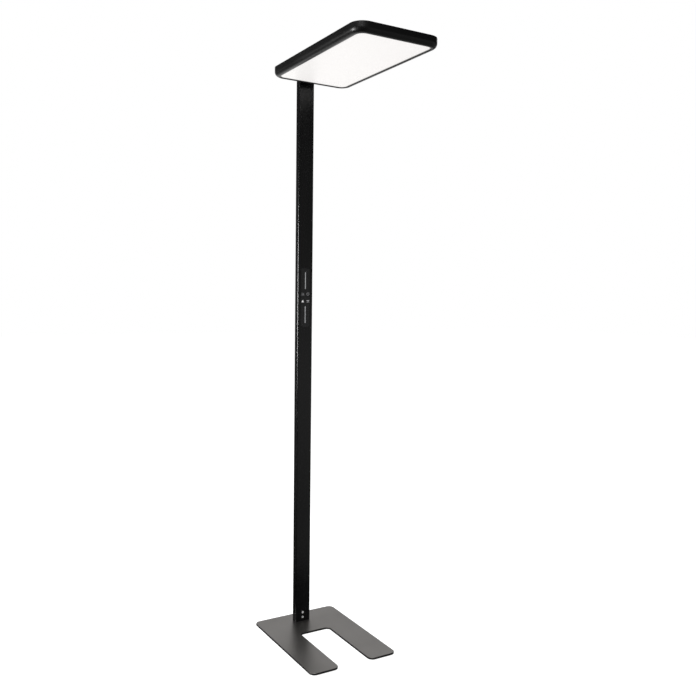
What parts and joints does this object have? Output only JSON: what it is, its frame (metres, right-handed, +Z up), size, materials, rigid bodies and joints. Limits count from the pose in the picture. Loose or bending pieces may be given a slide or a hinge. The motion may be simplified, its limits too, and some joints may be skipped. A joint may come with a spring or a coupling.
{
  "type": "office floor lamp",
  "caption": "Free-standing office floor lamp: U-shaped foot plate, slim pole with a touch panel, and a flat rectangular head that lights the desk below and the ceiling above.",
  "frame": {"origin": "on the floor, under the pole's axis, at the underside of the pad that lies right below the pole", "axes": "+Z up along the pole; the head and the legs of the foot reach towards -Y, the front, where the touch panel faces; X runs across the foot"},
  "size_m": [0.318, 0.6525, 1.95],
  "materials": {
    "black_steel": "satin",
    "pad_rubber": "matte",
    "steel": "satin",
    "zinc_screw": "satin",
    "black_aluminium": "satin",
    "black_plastic": "matte",
    "gland_rubber": "matte",
    "white_plastic": "satin",
    "lead_sheath": "satin",
    "panel_acrylic": "gloss",
    "light_pipe": "satin",
    "green_board": "satin",
    "cast_aluminium": "matte",
    "black_screw": "satin",
    "opal_acrylic": "satin",
    "clear_acrylic": "gloss",
    "white_sheet": "matte",
    "white_board": "satin",
    "bare_aluminium": "satin"
  },
  "bodies": {
    "root": {"base_plate": "black_steel", "base_pads": "pad_rubber", "foot_block": "steel", "base_screws": "zinc_screw", "foot_screws": "zinc_screw", "pole": "black_aluminium", "pole_cap": "black_plastic", "supply_gland": "gland_rubber", "supply_terminal": "white_plastic", "pole_lead": "lead_sheath", "lead_clips": "black_plastic", "touch_panel": "panel_acrylic", "upper_slider_light": "light_pipe", "lower_slider_light": "light_pipe", "touch_board": "green_board", "head_bracket": "cast_aluminium", "bracket_screws": "black_screw", "head_housing": "black_aluminium", "diffuser": "opal_acrylic", "light_guide": "clear_acrylic", "reflector_sheet": "white_sheet", "led_strip_left": "white_board", "led_strip_right": "white_board", "mounting_tray": "bare_aluminium", "arm_screws": "zinc_screw", "top_cover": "black_aluminium", "cover_screws": "black_screw", "uplight_lens": "opal_acrylic", "uplight_board_1": "white_board", "uplight_board_2": "white_board", "uplight_board_3": "white_board", "uplight_board_4": "white_board", "led_driver": "white_plastic", "driver_screws": "zinc_screw", "head_terminal": "white_plastic"}
  },
  "joints": []
}
